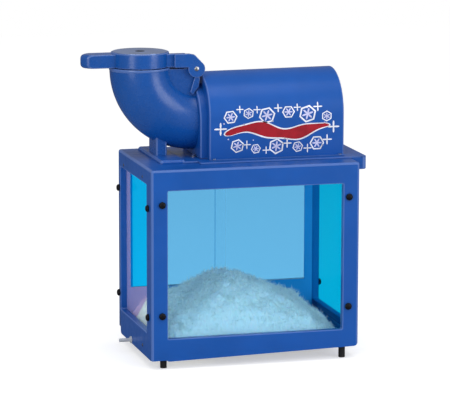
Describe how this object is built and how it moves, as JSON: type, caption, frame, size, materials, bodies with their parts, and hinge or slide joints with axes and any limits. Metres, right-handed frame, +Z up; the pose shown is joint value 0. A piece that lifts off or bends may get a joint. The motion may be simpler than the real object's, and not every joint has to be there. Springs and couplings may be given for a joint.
{
  "type": "countertop ice shaver",
  "caption": "Windowed sheet-metal ice shaver: elbow hopper with a hinged pusher lever, motor-driven cutter under an arched cover, sliding rear doors, legs and a drain.",
  "frame": {"origin": "centre of the footprint of the whole machine, on the table", "axes": "+Z up, +Y from the front window to the operator's side at the back, +X from the hopper to the motor"},
  "size_m": [0.623, 0.3258, 0.6908],
  "materials": {
    "blue_paint": "glossy enamel on sheet steel and castings",
    "front_tint": "clear blue acrylic sheet",
    "side_tint": "clear blue acrylic sheet, a deeper tint",
    "black_plastic": "moulded, semi-gloss",
    "black_rubber": "plain",
    "cast_aluminium": "satin, turned",
    "tool_steel": "ground",
    "bright_steel": "zinc-plated",
    "motor_paint": "satin grey",
    "core_steel": "laminated",
    "milky_plastic": "natural polymer, slightly see-through",
    "shaved_ice": "coarse snow"
  },
  "bodies": {
    "machine": {"front_frame": "blue_paint", "left_frame": "blue_paint", "right_frame": "blue_paint", "rear_frame": "blue_paint", "top_deck": "blue_paint", "floor_pan": "blue_paint", "front_window": "front_tint", "left_window": "side_tint", "right_window": "side_tint", "lower_door_track": "cast_aluminium", "upper_door_track": "cast_aluminium", "shaved_ice_heap": "shaved_ice", "front_knob_1": "black_plastic", "front_knob_2": "black_plastic", "front_knob_3": "black_plastic", "front_knob_4": "black_plastic", "left_knob_1": "black_plastic", "left_knob_2": "black_plastic", "left_knob_3": "black_plastic", "left_knob_4": "black_plastic", "right_knob_1": "black_plastic", "right_knob_2": "black_plastic", "right_knob_3": "black_plastic", "right_knob_4": "black_plastic", "leg_1": "black_rubber", "leg_2": "black_rubber", "leg_3": "black_rubber", "leg_4": "black_rubber", "drain_fitting": "milky_plastic", "drain_spout": "milky_plastic", "head_base_plate": "blue_paint", "hopper_elbow": "blue_paint", "cutter_housing": "blue_paint", "discharge_chute": "bright_steel", "hinge_pin": "bright_steel", "motor_shell": "motor_paint", "stator_pack": "core_steel", "front_end_bell": "cast_aluminium", "rear_end_bell": "cast_aluminium", "motor_cradle": "motor_paint", "motor_cover": "blue_paint", "cover_screw_left": "bright_steel", "cover_screw_right": "bright_steel", "motor_switch": "black_plastic", "power_gland": "black_plastic"},
    "pusher": {"pusher_handle": "blue_paint", "cap_disc": "cast_aluminium", "pusher_horn": "cast_aluminium", "pusher_plate": "cast_aluminium"},
    "rotor": {"cutter_disc": "cast_aluminium", "blade_1": "tool_steel", "blade_2": "tool_steel", "blade_3": "tool_steel", "hub_nut": "bright_steel", "motor_shaft": "tool_steel", "rotor_core": "core_steel", "cooling_fan": "black_plastic"},
    "left_door": {"left_door": "side_tint"},
    "right_door": {"right_door": "side_tint"},
    "toggle": {"motor_toggle": "bright_steel"}
  },
  "joints": [
    {"name": "pusher_hinge", "type": "hinge", "parent": "machine", "child": "pusher", "pos_m": [-0.0565, 0.03415, 0.652], "axis": [0, 1, 0], "range_deg": [0, 95]},
    {"name": "rotor_spin", "type": "hinge", "parent": "machine", "child": "rotor", "pos_m": [-0.049, 0.03415, 0.533], "axis": [1, 0, 0], "continuous": true},
    {"name": "left_door_slide", "type": "slide", "parent": "machine", "child": "left_door", "axis": [1, 0, 0], "range_m": [0, 0.2]},
    {"name": "right_door_slide", "type": "slide", "parent": "machine", "child": "right_door", "axis": [1, 0, 0], "range_m": [-0.2, 0]},
    {"name": "toggle_tip", "type": "hinge", "parent": "machine", "child": "toggle", "pos_m": [0.2195, 0.13065, 0.5126], "axis": [1, 0, 0], "range_deg": [0, 24]}
  ]
}
